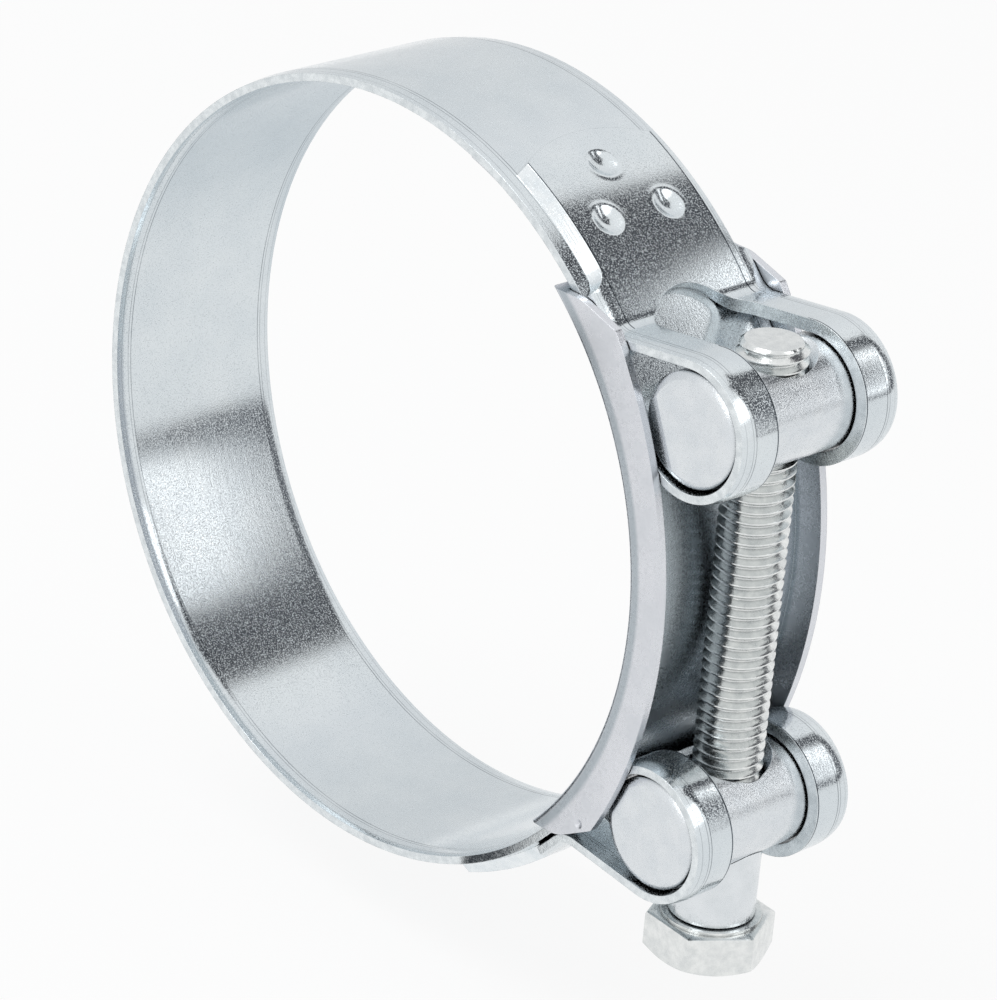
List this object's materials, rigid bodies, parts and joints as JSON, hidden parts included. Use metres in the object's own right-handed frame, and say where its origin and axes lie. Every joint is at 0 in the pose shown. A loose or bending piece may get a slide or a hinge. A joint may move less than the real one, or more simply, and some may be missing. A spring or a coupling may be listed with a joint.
{
  "type": "heavy duty hose clamp",
  "caption": "Round band clamp with folded-back slotted ends round two cross pins, drawn together by a hexagon bolt over a channel bridge.",
  "frame": {"origin": "centre of the bore, in the middle of the band's width", "axes": "+Y along the bore, +X from the bore to the bolt, +Z along the bolt from its head to its tip, up"},
  "size_m": [0.1048, 0.0262, 0.094],
  "materials": {
    "strip_zinc": "bright zinc plate on rolled strip",
    "bridge_zinc": "satin zinc plate on pressed sheet",
    "pin_zinc": "bright zinc plate on turned bar",
    "sleeve_zinc": "satin zinc plate on tube",
    "bolt_zinc": "zinc plate on a forged bolt"
  },
  "bodies": {
    "clamp": {"band": "strip_zinc", "bridge": "bridge_zinc", "upper_trunnion": "pin_zinc", "lower_trunnion": "pin_zinc"},
    "sleeve": {"spacer_sleeve": "sleeve_zinc"},
    "bolt": {"bolt": "bolt_zinc"}
  },
  "joints": [
    {"name": "bolt_travel", "type": "slide", "parent": "clamp", "child": "sleeve", "axis": [0, 0, -1], "range_m": [0, 0.0125]},
    {"name": "bolt_turn", "type": "hinge", "parent": "sleeve", "child": "bolt", "pos_m": [0.0496, 0, 0], "axis": [0, 0, -1], "range_deg": [0, 3600]}
  ],
  "couplings": [
    {"joint": "bolt_turn", "follows": "bolt_travel", "rad_per_m": 5026.5}
  ]
}
